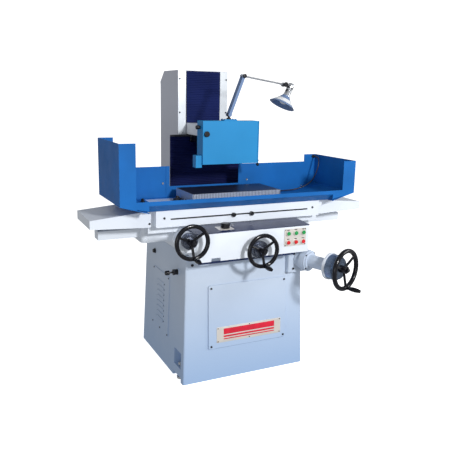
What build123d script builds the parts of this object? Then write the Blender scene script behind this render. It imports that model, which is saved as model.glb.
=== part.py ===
"""Surface grinder with a reciprocating table, cross-sliding saddle and a vertical wheelhead.

Frame: +Z up, X along the table, -Y towards the operator, origin on the floor in the middle of the base.
Millimetres.
"""
from math import cos, pi, radians, sin, tan
import os

from build123d import *

# driving dimensions
BASE_FOOT = (780, 727)  # width and depth on the floor
BASE_TOP = (730, 672)
BASE_HEIGHT = 744
BASE_FRONT = -490  # front face at the floor
BASE_TOP_FRONT = -463
BASE_REAR = 500
REAR_HALF = 200  # narrow rear part that carries the column
WALL = 30
SCREWS = ((-366, -393), (366, -393), (-172, 393), (172, 393))  # levelling screws

LUBE = (-360, 627)  # y and z of the hand lubricator on the left side
PANEL_X = (-236, 266)
PANEL_Z = (187, 560)
DOOR_Y = (-232, 46)
DOOR_Z = (189, 556)

COLUMN_X = 170
COLUMN_Y = (176, 495)
COLUMN_SEAM = 1664
COLUMN_TOP = 1740
CHANNEL_X = 80
CHANNEL_Y = 330

SADDLE_X = 366
SADDLE_Y = (-452, -20)
SADDLE_Z = (746, 876)
WING_X = 552
WING_Y = (-276, -110)
WING_Z = 787
RAIL_TOP = 897.6
WAY_GAP = 0.05  # running clearance of the slideways

APRON_X = 350
APRON_Y = (-568, -452)
APRON_Z = (748, 880)
APRON_SKIRT = 728

TABLE_X = 515
TABLE_Y = (-412, -22)
TABLE_Z = (898, 990)
SLOT_Z = 941
COVER_X = 855
COVER_Y = (-367, -60)

GUARD_X = 724
GUARD_Y = (-470, -37)
SHEET = 3
FLANGE = 86
LEFT_TOP = 1351
RIGHT_TOP = 1225
BACK_TOP = 1178
OPENING_X = (-303, 154)
OPENING_Z = 1058

CHUCK_X = 279
CHUCK_Y = (-346, -90)
CHUCK_TOP = 1056

HEAD_X = 112
HEAD_Z = (1248, 1420)
HEAD_FRONT = -160
NECK_Y = 16
NECK_Z = 1312
QUILL_R = 60
SPINDLE_Z = 1291
SPINDLE_R = 25
GUARD_HALF = 177.5  # wheel guard
WHEEL_GUARD_Y = (-244, -160)
WHEEL_GUARD_Z = (1205, 1450)
WHEEL_R = 88.9
WHEEL_THICK = 19
WHEEL_BORE = 15.9
LIFT_SCREW = (0, 250)

RIM_PLANE = -626
HANDWHEEL_R = 95
RIM_R = 9.5
TRAVERSE = (-394, 858)  # x and z of the handwheel shafts
CROSS = (20, 774)
LIFT_TURN = 20  # elevating shaft, degrees from -Y towards +X
LIFT_FLANGE = (362, -536, 664)
LIFT_REACH = 266
LIFT_WHEEL_R = 118

BUTTON_X = (208, 257, 306)
BUTTON_Z = (844, 792)
BUTTON_R = 11

LAMP_FOOT = (2, -202)
LAMP_ELBOW = (88, 1703)  # x and z of the lamp's joints
LAMP_KNUCKLE = (368, 1662)
LAMP_TILT = 27  # shade axis from straight down, towards -X

CABLE_R = 4
CABLE_ROUTE = (
    (706, -58, 1211),
    (706, -86, 1211),
    (702, -112, 1203),
    (694, -129, 1182),
    (686, -134, 1153),
    (678, -132, 1120),
    (667, -126, 1087),
    (650, -118, 1057),
    (625, -108, 1034),
    (592, -97, 1017),
    (554, -90, 1006),
    (508, -86, 1001),
    (460, -86, 1000.5),
    (412, -92, 1001),
    (368, -108, 1010),
    (334, -116, 1016),
    (306, -116, 1016),
)

os.makedirs("parts", exist_ok=True)


def save(piece, label):
    """Label a finished piece and write its STEP file."""
    piece.part.label = label
    export_step(piece.part, f"parts/{label}.step")


def block(x, y, z, mode=Mode.ADD):
    """A box between two limits on each axis."""
    with Locations(((x[0] + x[1]) / 2, (y[0] + y[1]) / 2, (z[0] + z[1]) / 2)):
        Box(x[1] - x[0], y[1] - y[0], z[1] - z[0], mode=mode)


def rod(start, axis, radius, length, mode=Mode.ADD):
    """A cylinder that starts on a point and runs along an axis."""
    with BuildSketch(Plane(origin=start, z_dir=axis)) as disc:
        Circle(radius)
    extrude(disc.sketch, amount=length, mode=mode)


def upright_edges(piece, height):
    """The edges of a piece that climb at least a height."""
    return [e for e in piece.edges() if e.bounding_box().size.Z > height]


# ---------------------------------------------------------------- base and its covers
base_mid = BASE_FRONT + BASE_FOOT[1] / 2
base_top_mid = BASE_TOP_FRONT + BASE_TOP[1] / 2
POCKET = 52  # half width of a levelling pocket
RAIL_X = (210, 262)  # cross-slide ways on the base
RAIL_UP = 758
RAIL_Y = (-360, 110)


def front_y(z):
    """Y of the base's sloping front face at a height."""
    return BASE_FRONT + (BASE_TOP_FRONT - BASE_FRONT) * z / BASE_HEIGHT


def side_x(z):
    """Distance of the base's sloping side face from the middle at a height."""
    return (BASE_FOOT[0] + (BASE_TOP[0] - BASE_FOOT[0]) * z / BASE_HEIGHT) / 2


with BuildPart() as base_casting:
    with BuildSketch(Plane.XY):
        with Locations((0, base_mid)):
            Rectangle(*BASE_FOOT)
    with BuildSketch(Plane.XY.offset(BASE_HEIGHT)):
        with Locations((0, base_top_mid)):
            Rectangle(*BASE_TOP)
    loft()
    fillet(upright_edges(base_casting, 700), 9)
    block((-REAR_HALF, REAR_HALF), (150, BASE_REAR), (0, BASE_HEIGHT))
    for way in (-1, 1):
        block(sorted((way * RAIL_X[0], way * RAIL_X[1])), RAIL_Y, (BASE_HEIGHT, RAIL_UP))
    # hollow inside, with its front and left openings
    block((-325, 325), (-425, 180), (45, 700), mode=Mode.SUBTRACT)
    block((PANEL_X[0] + 22, PANEL_X[1] - 22), (-500, -400), (PANEL_Z[0] + 22, PANEL_Z[1] - 22),
          mode=Mode.SUBTRACT)
    block((-400, -300), (DOOR_Y[0] + 16, DOOR_Y[1] - 16), (DOOR_Z[0] + 16, DOOR_Z[1] - 16),
          mode=Mode.SUBTRACT)
    # levelling pockets, open to the sides, with a screw hole down through each ledge
    for x, y in SCREWS:
        side = 1 if x > 0 else -1
        block(sorted((x - side * 26, x + side * 40)), (y - POCKET, y + POCKET), (76, 171), mode=Mode.SUBTRACT)
        block(sorted((x - side * 26, x + side * 40)), (y - 60, y + 62), (-1, 26), mode=Mode.SUBTRACT)
    with Locations(*[(x, y, 50) for x, y in SCREWS]):
        Cylinder(9.2, 80, mode=Mode.SUBTRACT)
    # bored boss for the cross-feed nut and seats for the bolted parts
    block((CROSS[0] - 26, CROSS[0] + 26), (-300, -240), (BASE_HEIGHT, CROSS[1] + 24))
    rod((CROSS[0], -301, CROSS[1]), (0, 1, 0), 10.1, 62, mode=Mode.SUBTRACT)
    for x in (-331, 318):
        with BuildSketch(Plane.XZ.offset(463)):
            with Locations((x, 690)):
                RectangleRounded(72, 46, 14)
        extrude(amount=8, both=True)
    rod((-side_x(LUBE[1]) + 6, *LUBE), (-1, 0, 0), 20, 12)
    rod((-side_x(LUBE[1]), *LUBE), (-1, 0, 0), 14, 32)
    rod((-side_x(LUBE[1]) - 1, *LUBE), (-1, 0, 0), 5.05, 60, mode=Mode.SUBTRACT)
save(base_casting, "base_casting")

panel_slope = Plane(origin=(0, BASE_FRONT, 0),
                    x_dir=(1, 0, 0),
                    z_dir=(0, -BASE_HEIGHT, BASE_TOP_FRONT - BASE_FRONT))
slope_scale = (BASE_HEIGHT**2 + (BASE_TOP_FRONT - BASE_FRONT) ** 2) ** 0.5 / BASE_HEIGHT
panel_mid = (sum(PANEL_X) / 2, sum(PANEL_Z) / 2 * slope_scale)
panel_size = (PANEL_X[1] - PANEL_X[0], (PANEL_Z[1] - PANEL_Z[0]) * slope_scale)
PANEL_THICK = 8
panel_screws = [(panel_mid[0] + sx * (panel_size[0] / 2 - 17),
                 panel_mid[1] + sz * (panel_size[1] / 2 - 16)) for sx in (-1, 1) for sz in (-1, 1)]

with BuildPart() as access_panel:
    with BuildSketch(panel_slope):
        with Locations(panel_mid):
            RectangleRounded(*panel_size, 10)
    extrude(amount=PANEL_THICK)
    chamfer(access_panel.faces().sort_by(Axis.Y)[0].edges(), 2)
save(access_panel, "access_panel")

PLATE_MID = (22, 266)  # nameplate rivets on the access panel
PLATE_SIZE = (416, 92)
door_slope = Plane(origin=(-BASE_FOOT[0] / 2, 0, 0),
                   x_dir=(0, -1, 0),
                   z_dir=(-BASE_HEIGHT, 0, (BASE_FOOT[0] - BASE_TOP[0]) / 2))
door_mid = (-sum(DOOR_Y) / 2, sum(DOOR_Z) / 2)
door_size = (DOOR_Y[1] - DOOR_Y[0], DOOR_Z[1] - DOOR_Z[0])
door_screws = [(door_mid[0] + sx * (door_size[0] / 2 - 9), door_mid[1] + sz * (door_size[1] / 2 - 9))
               for sx in (-1, 1) for sz in (-1, 1)]
with BuildPart() as side_cover:
    with BuildSketch(door_slope):
        with Locations(door_mid):
            RectangleRounded(*door_size, 6)
    extrude(amount=4)
    # louvre slots
    with BuildSketch(door_slope.offset(5)):
        with Locations(door_mid):
            with GridLocations(0, 33, 1, 8):
                SlotOverall(130, 7)
    extrude(amount=-10, mode=Mode.SUBTRACT)
save(side_cover, "side_cover")

with BuildPart() as base_screws:
    with BuildSketch(panel_slope.offset(PANEL_THICK)):
        with Locations(*panel_screws):
            Circle(5.5)
    extrude(amount=4)
    with BuildSketch(panel_slope.offset(PANEL_THICK)):
        with Locations(PLATE_MID):
            with GridLocations(PLATE_SIZE[0] / 2 - 8, PLATE_SIZE[1] - 14, 3, 2):
                Circle(3)
    extrude(amount=3.5)
    with BuildSketch(door_slope.offset(4)):
        with Locations(*door_screws, (door_mid[0], door_mid[1] - door_size[1] / 2 + 9)):
            Circle(4.5)
    extrude(amount=3)
    with BuildSketch(Plane.XZ.offset(-COLUMN_Y[0] + 6)):
        with Locations(*[(sx * 158, z) for sx in (-1, 1) for z in (1688, 1484, 1284, 1084)]):
            Circle(5)
    extrude(amount=3.5)
save(base_screws, "base_screws")

with BuildPart() as levelling_screws:
    for spot in SCREWS:
        rod((*spot, 12), (0, 0, 1), 9, 88)
        rod((*spot, 0), (0, 0, 1), 22, 12)
        with BuildSketch(Plane(origin=(*spot, 84))):
            RegularPolygon(15, 6)
        extrude(amount=14)
save(levelling_screws, "levelling_screws")

# ---------------------------------------------------------------- tank and pump unit in the base
with BuildPart() as hydraulic_tank:
    block((-290, 290), (-370, 130), (45, 330))
    fillet(hydraulic_tank.edges().filter_by(Axis.Z), 20)
    block((-282, 282), (-362, 122), (44, 322), mode=Mode.SUBTRACT)
    with BuildSketch(Plane.XY.offset(330)):
        with Locations((120, -120)):
            Circle(70)
    extrude(amount=190)
    with BuildSketch(Plane.XY.offset(330)):
        with Locations((-140, -150)):
            RectangleRounded(130, 110, 12)
    extrude(amount=60)
save(hydraulic_tank, "hydraulic_tank")

# ---------------------------------------------------------------- hand lubricator on the left side
lube_x = side_x(LUBE[1])
with BuildPart() as lubricator_plunger:
    rod((-lube_x - 55, *LUBE), (-1, 0, 0), 13, 24)
    fillet(lubricator_plunger.edges().sort_by(Axis.X)[0], 7)
    rod((-lube_x - 2, *LUBE), (-1, 0, 0), 5, 55)
save(lubricator_plunger, "lubricator_plunger")

# ---------------------------------------------------------------- column
with BuildPart() as column_casting:
    block((-COLUMN_X, COLUMN_X), COLUMN_Y, (BASE_HEIGHT, COLUMN_SEAM))
    fillet(upright_edges(column_casting, 700), 5)
    block((-CHANNEL_X, CHANNEL_X), (COLUMN_Y[0] - 1, CHANNEL_Y), (BASE_HEIGHT + 30, COLUMN_SEAM + 1),
          mode=Mode.SUBTRACT)
    rod((*LIFT_SCREW, BASE_HEIGHT - 1), (0, 0, 1), 16.1, 60, mode=Mode.SUBTRACT)
save(column_casting, "column_casting")

CHAMFER = (75, 66)  # rear top slope, along Y and down
with BuildPart() as column_cap:
    with BuildSketch(Plane.YZ.offset(-COLUMN_X)):
        with BuildLine():
            Polyline((COLUMN_Y[0], COLUMN_SEAM), (COLUMN_Y[1], COLUMN_SEAM),
                     (COLUMN_Y[1], COLUMN_TOP - CHAMFER[1]),
                     (COLUMN_Y[1] - CHAMFER[0], COLUMN_TOP), (COLUMN_Y[0], COLUMN_TOP), close=True)
        make_face()
    extrude(amount=2 * COLUMN_X)
    rod((*LIFT_SCREW, COLUMN_SEAM - 1), (0, 0, 1), 16.1, 22, mode=Mode.SUBTRACT)
save(column_cap, "column_cap")

with BuildPart() as way_strips:
    for side in (-1, 1):
        block(sorted((side * 117, side * (COLUMN_X - 2))), (COLUMN_Y[0] - 6, COLUMN_Y[0]),
              (1000, COLUMN_TOP - 3))
save(way_strips, "way_strips")

with BuildPart() as lift_screw:
    rod((*LIFT_SCREW, BASE_HEIGHT + 4), (0, 0, 1), 16, COLUMN_SEAM + 12 - BASE_HEIGHT)
    rod((*LIFT_SCREW, BASE_HEIGHT + 31), (0, 0, 1), 34, 24)
save(lift_screw, "lift_screw")

# ---------------------------------------------------------------- elevating handwheel on the corner
lift_axis = Vector(sin(radians(LIFT_TURN)), -cos(radians(LIFT_TURN)), 0)


def along_lift(distance):
    """A point on the elevating shaft, a distance out from its flange."""
    return Vector(*LIFT_FLANGE) + lift_axis * distance


with BuildPart() as lift_bracket:
    # gear housing on the corner of the base
    block((262, 384), (-500, -450), (588, 726))
    fillet(upright_edges(lift_bracket, 100), 10)
    rod(along_lift(-52), lift_axis, 52, 50)
    rod(along_lift(-14), lift_axis, 62, 24)
    # flanged tube and its rim
    rod(along_lift(9), lift_axis, 61, 14)
    rod(along_lift(22), lift_axis, 52, 9)
    rod(along_lift(30), lift_axis, 37, 140)
    rod(along_lift(158), lift_axis, 76, 14)
    rod(along_lift(-42), lift_axis, 12.6, 240, mode=Mode.SUBTRACT)
    add(base_casting.part, mode=Mode.SUBTRACT)
save(lift_bracket, "lift_bracket")


def wheel_plane(center, axis):
    """A plane square to a handwheel's shaft, with its x level and its y up."""
    axis = Vector(*axis)
    return Plane(origin=center, x_dir=Vector(0, 0, 1).cross(axis), z_dir=axis)


def handwheel(plane, rim, rim_thick, spoke_start, shaft_back, shaft_r):
    """Rim, hub, three spokes, crank boss and shaft; the plane's z points at the operator."""
    with BuildPart() as wheel:
        with BuildSketch(plane.offset(-34)):
            Circle(21)
        extrude(amount=44)
        with BuildSketch(plane.offset(10)):
            Circle(15)
        extrude(amount=7, taper=12)
        for turn in range(3):
            aim = radians(spoke_start + 120 * turn)
            out = plane.x_dir * cos(aim) + plane.y_dir * sin(aim)
            root = plane.origin + out * 10 - plane.z_dir * 12
            span = plane.origin + out * (rim - rim_thick) - root
            with BuildSketch(Plane(origin=root, z_dir=span)):
                Circle(7.2)
            extrude(amount=span.length)
        with BuildSketch(Plane(origin=plane.origin, x_dir=plane.x_dir, z_dir=plane.y_dir)):
            with Locations((rim - rim_thick, 0)):
                RectangleRounded(2 * rim_thick, 2 * rim_thick - 1, 0.8 * rim_thick)
        revolve(axis=Axis(plane.origin, plane.z_dir))
        aim = radians(spoke_start)
        out = plane.x_dir * cos(aim) + plane.y_dir * sin(aim)
        boss = plane.origin + out * (rim - rim_thick)
        with BuildSketch(Plane(origin=boss, z_dir=plane.z_dir)):
            Circle(11)
        extrude(amount=13)
        with BuildSketch(Plane(origin=boss, z_dir=plane.z_dir)):
            Circle(4.1)
        extrude(amount=60)
        with BuildSketch(plane.offset(-30)):
            Circle(shaft_r)
        extrude(amount=-shaft_back)
    return wheel, boss


def dial(plane, back, front, radius):
    """Graduated collar on the shaft, between two distances behind the rim."""
    with BuildPart() as collar:
        with BuildSketch(plane.offset(-back)):
            Circle(radius)
        extrude(amount=(back - front) * 0.72)
        with BuildSketch(plane.offset(-back + (back - front) * 0.72)):
            Circle(radius * 0.86)
        extrude(amount=(back - front) * 0.28)
        with BuildSketch(plane.offset(-back - 1)):
            Circle(21.05 if front < 34 else 12.6)
        extrude(amount=back - front + 2, mode=Mode.SUBTRACT)
    return collar


def grip(boss, axis, length):
    """Tapered crank grip that spins on the crank pin."""
    with BuildPart() as handle:
        with BuildSketch(Plane(origin=boss + axis * 13.6, z_dir=axis)):
            Circle(8)
        with BuildSketch(Plane(origin=boss + axis * (13.6 + length * 0.7), z_dir=axis)):
            Circle(12.5)
        with BuildSketch(Plane(origin=boss + axis * (13.6 + length), z_dir=axis)):
            Circle(8.5)
        loft()
        with BuildSketch(Plane(origin=boss + axis * 13, z_dir=axis)):
            Circle(4.16)
        extrude(amount=48, mode=Mode.SUBTRACT)
    return handle


FRONT_AXIS = Vector(0, -1, 0)
lift_plane = wheel_plane(along_lift(LIFT_REACH), lift_axis)
lift_handwheel, lift_boss = handwheel(lift_plane, LIFT_WHEEL_R, 11, -82, 264, 12.5)
save(lift_handwheel, "lift_handwheel")
lift_dial = dial(lift_plane, LIFT_REACH - 172.4, 34.2, 72)
save(lift_dial, "lift_dial")
lift_grip = grip(lift_boss, lift_axis, 78)
save(lift_grip, "lift_grip")

traverse_plane = wheel_plane((TRAVERSE[0], RIM_PLANE, TRAVERSE[1]), FRONT_AXIS)
traverse_handwheel, traverse_boss = handwheel(traverse_plane, HANDWHEEL_R, RIM_R, -84, 90, 12.5)
save(traverse_handwheel, "traverse_handwheel")
traverse_dial = dial(traverse_plane, 51, 22, 44)
save(traverse_dial, "traverse_dial")
traverse_grip = grip(traverse_boss, FRONT_AXIS, 66)
save(traverse_grip, "traverse_grip")

cross_plane = wheel_plane((CROSS[0], RIM_PLANE, CROSS[1]), FRONT_AXIS)
cross_handwheel, cross_boss = handwheel(cross_plane, HANDWHEEL_R, RIM_R, -84, 530, 10)
save(cross_handwheel, "cross_handwheel")
cross_dial = dial(cross_plane, 51, 22, 48)
save(cross_dial, "cross_dial")
cross_grip = grip(cross_boss, FRONT_AXIS, 66)
save(cross_grip, "cross_grip")

# ---------------------------------------------------------------- saddle
TABLE_WAYS = (-330, -140)  # middle lines of the table ways
ROD = (-205, 862)  # y and z of the table's piston rod
ROD_GROOVE = (-228, -182)
ARM_X = 786
ARM_Y = (-245, -165)
ARM_Z = (816, 864)
with BuildPart() as saddle_casting:
    block((-SADDLE_X, SADDLE_X), SADDLE_Y, SADDLE_Z)
    with BuildSketch(Plane.XY.offset(WING_Z)):
        with Locations((0, sum(WING_Y) / 2)):
            RectangleRounded(2 * WING_X, WING_Y[1] - WING_Y[0], 24)
    extrude(amount=SADDLE_Z[1] - WING_Z)
    for y in TABLE_WAYS:
        block((-540, 540), (y - 22, y + 22), (SADDLE_Z[1] - 20, RAIL_TOP))
    # undersides: cross ways, room for the cross screw and its nut
    for way in (-1, 1):
        x = sorted((way * (RAIL_X[0] - WAY_GAP), way * (RAIL_X[1] + WAY_GAP)))
        block(x, (-460, 0), (SADDLE_Z[0] - 1, RAIL_UP + WAY_GAP), mode=Mode.SUBTRACT)
    block((CROSS[0] - 34, CROSS[0] + 34), (-460, 0), (SADDLE_Z[0] - 1, CROSS[1] + 34), mode=Mode.SUBTRACT)
    # groove for the table's piston rod
    block((-560, 560), ROD_GROOVE, (838, RAIL_TOP), mode=Mode.SUBTRACT)
    # cylinder bosses in the groove
    for x in ((-204, -180), (-15, 15), (180, 204)):
        block(x, ROD_GROOVE, (838, 850))
    rod((-204, *ROD), (1, 0, 0), 20, 408)
    rod((-205, *ROD), (1, 0, 0), 10.1, 410, mode=Mode.SUBTRACT)
save(saddle_casting, "saddle_casting")

with BuildPart() as cylinder_arms:
    for side in (-1, 1):
        block(sorted((side * WING_X, side * ARM_X)), ARM_Y, ARM_Z)
        block(sorted((side * (WING_X - 1), side * (ARM_X - 6))), (ARM_Y[0] + 8, ARM_Y[1] - 8),
              (ARM_Z[0] + 8, ARM_Z[1] + 1), mode=Mode.SUBTRACT)
save(cylinder_arms, "cylinder_arms")

NOTCH_X = (-262, -208)
with BuildPart() as apron_casting:
    block((-APRON_X, APRON_X), APRON_Y, APRON_Z)
    block((-APRON_X, APRON_X), (APRON_Y[0], APRON_Y[0] + 12), (APRON_SKIRT, APRON_Z[0]))
    fillet(apron_casting.edges().filter_by(Axis.Z).sort_by(Axis.Y)[:2], 8)
    block(NOTCH_X, (APRON_Y[0] - 1, APRON_Y[0] + 20), (APRON_SKIRT - 1, APRON_Z[0] - 2), mode=Mode.SUBTRACT)
    # traverse gear housing on the left end and the bosses behind the handwheels
    with BuildSketch(Plane.XZ.offset(-APRON_Y[1])):
        with Locations((TRAVERSE[0], APRON_Z[1] - 46)):
            Circle(46)
        with Locations((TRAVERSE[0] + 28, APRON_Z[1] - 46)):
            Rectangle(56, 92)
    extrude(amount=108)
    with BuildSketch(Plane.XZ.offset(-APRON_Y[0] - 8)):
        with Locations((TRAVERSE[0], TRAVERSE[1])):
            Circle(43)
    extrude(amount=14)
    block((-APRON_X, -300), (APRON_Y[0] - 8, APRON_Y[0]), (APRON_Z[1], APRON_Z[1] + 30), mode=Mode.SUBTRACT)
    rod((CROSS[0], APRON_Y[0] + 2, CROSS[1]), (0, -1, 0), 52, 8)
    # shaft bores
    rod((TRAVERSE[0], -600, TRAVERSE[1]), (0, 1, 0), 12.6, 110, mode=Mode.SUBTRACT)
    rod((CROSS[0], -600, CROSS[1]), (0, 1, 0), 10.1, 160, mode=Mode.SUBTRACT)
    # push button bores and the speed valve's bore
    for x in BUTTON_X:
        for z in BUTTON_Z:
            rod((x, APRON_Y[0] - 1, z), (0, 1, 0), 9.1, 41, mode=Mode.SUBTRACT)
    rod((-150, -500, 850), (0, 0, 1), 6.1, 60, mode=Mode.SUBTRACT)
save(apron_casting, "apron_casting")

DECK_RISE = 11
deck_length = 148
with BuildPart() as deck_cover:
    with BuildSketch(Plane.YZ.offset(-APRON_X)):
        with BuildLine():
            Polyline((APRON_Y[0], APRON_Z[1]), (APRON_Y[0] + deck_length, APRON_Z[1]),
                     (APRON_Y[0] + deck_length, APRON_Z[1] + DECK_RISE + 4),
                     (APRON_Y[0], APRON_Z[1] + 4), close=True)
        make_face()
    extrude(amount=2 * APRON_X)
    block((-360, 360), (APRON_Y[1], -400), (SADDLE_Z[1] - 4, SADDLE_Z[1]), mode=Mode.SUBTRACT)
    rod((-150, -500, 850), (0, 0, 1), 6.1, 60, mode=Mode.SUBTRACT)
save(deck_cover, "deck_cover")

with BuildPart() as speed_knob:
    rod((-150, -500, 852), (0, 0, 1), 6, 44)
    rod((-150, -500, 891), (0, 0, 1), 25, 26)
    fillet(speed_knob.edges().sort_by(Axis.Z)[-1], 3)
save(speed_knob, "speed_knob")

CONTROL_X = (184, 326)
CONTROL_Z = (769, 869)
with BuildPart() as control_plate:
    block(CONTROL_X, (APRON_Y[0] - 3, APRON_Y[0]), CONTROL_Z)
    fillet(control_plate.edges().filter_by(Axis.Y), 5)
    for x in BUTTON_X:
        for z in BUTTON_Z:
            rod((x, APRON_Y[0] - 4, z), (0, 1, 0), 9.1, 6, mode=Mode.SUBTRACT)
            rod((x, APRON_Y[0] - 3, z), (0, -1, 0), 15, 6)
            rod((x, APRON_Y[0] - 10, z), (0, 1, 0), BUTTON_R + 0.15, 7.5, mode=Mode.SUBTRACT)
save(control_plate, "control_plate")

for row, colour in enumerate(("start", "stop")):
    for column, machine in enumerate(("spindle", "hydraulic", "coolant")):
        centre = (BUTTON_X[column], APRON_Y[0] - 7, BUTTON_Z[row])
        with BuildPart() as button:
            rod(centre, (0, -1, 0), BUTTON_R, 7)
            fillet(button.edges().sort_by(Axis.Y)[0], 1.5)
            rod(centre, (0, 1, 0), 9, 24)
        save(button, f"{machine}_{colour}_button")

# ---------------------------------------------------------------- table
with BuildPart() as table_casting:
    block((-TABLE_X, TABLE_X), TABLE_Y, TABLE_Z)
    # slot for the trip dogs
    block((-433, 433), (TABLE_Y[0] - 1, TABLE_Y[0] + 10), (SLOT_Z - 4, SLOT_Z + 4), mode=Mode.SUBTRACT)
    # ways under the table
    for y in TABLE_WAYS:
        block((-520, 520), (y - 22 - WAY_GAP, y + 22 + WAY_GAP), (TABLE_Z[0] - 1, RAIL_TOP + WAY_GAP),
              mode=Mode.SUBTRACT)
    # middle T-slot in the top
    block((-520, 520), (-226, -212), (TABLE_Z[1] - 30, TABLE_Z[1] + 1), mode=Mode.SUBTRACT)
    block((-520, 520), (-233, -205), (TABLE_Z[1] - 30, TABLE_Z[1] - 17), mode=Mode.SUBTRACT)
save(table_casting, "table_casting")

with BuildPart() as piston_rod:
    rod((-490, *ROD), (1, 0, 0), 10, 980)
    for side in (-1, 1):
        block(sorted((side * 490, side * 497)), (ROD[0] - 18, ROD[0] + 18), (846, 898))
save(piston_rod, "piston_rod")

for side, label in ((-1, "end_cover_left"), (1, "end_cover_right")):
    with BuildPart() as end_cover:
        with BuildSketch(Plane.XZ.offset(-COVER_Y[0])):
            with BuildLine():
                Polyline((side * TABLE_X, 894), (side * TABLE_X, 983), (side * (TABLE_X + 16), 983),
                         (side * COVER_X, 953), (side * COVER_X, 906), (side * 560, 894), close=True)
            make_face()
        extrude(amount=COVER_Y[0] - COVER_Y[1])
        with BuildSketch(Plane.XZ.offset(-COVER_Y[0] - 5)):
            with BuildLine():
                Polyline((side * (TABLE_X - 1), 880), (side * (TABLE_X - 1), 977),
                         (side * (TABLE_X + 16), 977), (side * (COVER_X - 6), 948),
                         (side * (COVER_X - 6), 880), close=True)
            make_face()
        extrude(amount=COVER_Y[0] - COVER_Y[1] + 10, mode=Mode.SUBTRACT)
    save(end_cover, label)

TRAY_Z = TABLE_Z[1]
LIP = (1030, 1052)
TRAY_OPEN = ((-470, 316), (-372, -66))
RISE_X = 570
END_Z = 1032
with BuildPart() as guard_tray:
    # cross-section: floor, sloping gutter and front lip
    with BuildSketch(Plane.YZ.offset(-GUARD_X)):
        with BuildLine():
            Polyline((GUARD_Y[1], TRAY_Z), (-418, TRAY_Z), (GUARD_Y[0], LIP[0]), (GUARD_Y[0], LIP[1]),
                     (GUARD_Y[0] + SHEET, LIP[1]), (GUARD_Y[0] + SHEET, LIP[0] + 1.5),
                     (-416, TRAY_Z + SHEET), (GUARD_Y[1], TRAY_Z + SHEET), close=True)
        make_face()
    extrude(amount=2 * GUARD_X)
    block(TRAY_OPEN[0], TRAY_OPEN[1], (TRAY_Z - 1, TRAY_Z + 5), mode=Mode.SUBTRACT)
    for side in (-1, 1):
        block(sorted((side * RISE_X, side * (GUARD_X + 1))), (GUARD_Y[0] - 1, GUARD_Y[1] + 1),
              (TRAY_Z - 1, LIP[1] + 1), mode=Mode.SUBTRACT)
save(guard_tray, "guard_tray")

for side, label, top in ((-1, "guard_left", LEFT_TOP), (1, "guard_right", RIGHT_TOP)):
    inner = side * (GUARD_X - SHEET)
    with BuildPart() as guard_end:
        block(sorted((inner, side * GUARD_X)), GUARD_Y, (END_Z, top))
        # rising floor
        with BuildSketch(Plane.XZ.offset(-GUARD_Y[1] + SHEET)):
            with BuildLine():
                Polyline((side * RISE_X, TRAY_Z), (side * RISE_X, TRAY_Z + SHEET),
                         (inner, END_Z + SHEET), (side * GUARD_X, END_Z + SHEET),
                         (side * GUARD_X, END_Z), close=True)
            make_face()
        extrude(amount=GUARD_Y[1] - GUARD_Y[0] - SHEET)
        # front and rear flanges, and the lip between the front flange and the tray
        flange_x = GUARD_X - FLANGE
        flange_z = TRAY_Z + (END_Z - TRAY_Z) * (flange_x - RISE_X) / (GUARD_X - RISE_X)
        for y in (GUARD_Y[0] + SHEET, GUARD_Y[1]):
            with BuildSketch(Plane.XZ.offset(-y)):
                with BuildLine():
                    Polyline((side * flange_x, flange_z), (side * flange_x, top), (side * GUARD_X, top),
                             (side * GUARD_X, END_Z), close=True)
                make_face()
            extrude(amount=SHEET)
        with BuildSketch(Plane.XZ.offset(-GUARD_Y[0] - SHEET)):
            with BuildLine():
                Polyline((side * RISE_X, TRAY_Z + 12), (side * RISE_X, LIP[1]),
                         (side * GUARD_X, LIP[1]), (side * GUARD_X, END_Z), close=True)
            make_face()
        extrude(amount=SHEET)
    save(guard_end, label)

for label, x, edge in (("guard_back_left", (-GUARD_X + FLANGE, OPENING_X[0]), OPENING_X[0]),
                       ("guard_back_right", (OPENING_X[1], GUARD_X - FLANGE), OPENING_X[1])):
    inside = edge < 0
    fold = (edge - 22, edge) if inside else (edge, edge + 17)
    with BuildPart() as guard_back:
        block(x, (GUARD_Y[1] - SHEET, GUARD_Y[1]), (TRAY_Z + SHEET, BACK_TOP))
        block(fold, (GUARD_Y[1] - SHEET - 2.5, GUARD_Y[1] - SHEET), (TRAY_Z + SHEET, BACK_TOP))
        if inside:
            block((OPENING_X[0], OPENING_X[1]), (GUARD_Y[1] - SHEET, GUARD_Y[1]), (TRAY_Z + SHEET, OPENING_Z))
    save(guard_back, label)

with BuildPart() as magnetic_chuck:
    block((-CHUCK_X, CHUCK_X), CHUCK_Y, (TABLE_Z[1], CHUCK_TOP))
    chamfer(magnetic_chuck.faces().sort_by(Axis.Z)[-1].edges(), 1)
    # cable entry on the right end
    rod((CHUCK_X, *CABLE_ROUTE[-1][1:]), (1, 0, 0), 10, 10)
    rod((CHUCK_X + 10, *CABLE_ROUTE[-1][1:]), (1, 0, 0), 7.5, 17)
save(magnetic_chuck, "magnetic_chuck")

for label, x in (("trip_dog_left", -60), ("trip_dog_right", 54)):
    with BuildPart() as trip_dog:
        rod((x, TABLE_Y[0] - 0.4, SLOT_Z), (0, -1, 0), 12, 15)
        fillet(trip_dog.edges().sort_by(Axis.Y)[0], 2)
        block((x - 8, x + 8), (TABLE_Y[0] - 1, TABLE_Y[0] + 9), (SLOT_Z - 3.95, SLOT_Z + 3.95))
    save(trip_dog, label)

# ---------------------------------------------------------------- chuck cable and its glands
with BuildPart() as cable_gland:
    rod((CABLE_ROUTE[0][0], GUARD_Y[1] - SHEET, CABLE_ROUTE[0][2]), (0, -1, 0), 11, 8)
    rod((CABLE_ROUTE[0][0], GUARD_Y[1] - SHEET - 8, CABLE_ROUTE[0][2]), (0, -1, 0), 8, 10)
save(cable_gland, "cable_gland")

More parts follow.
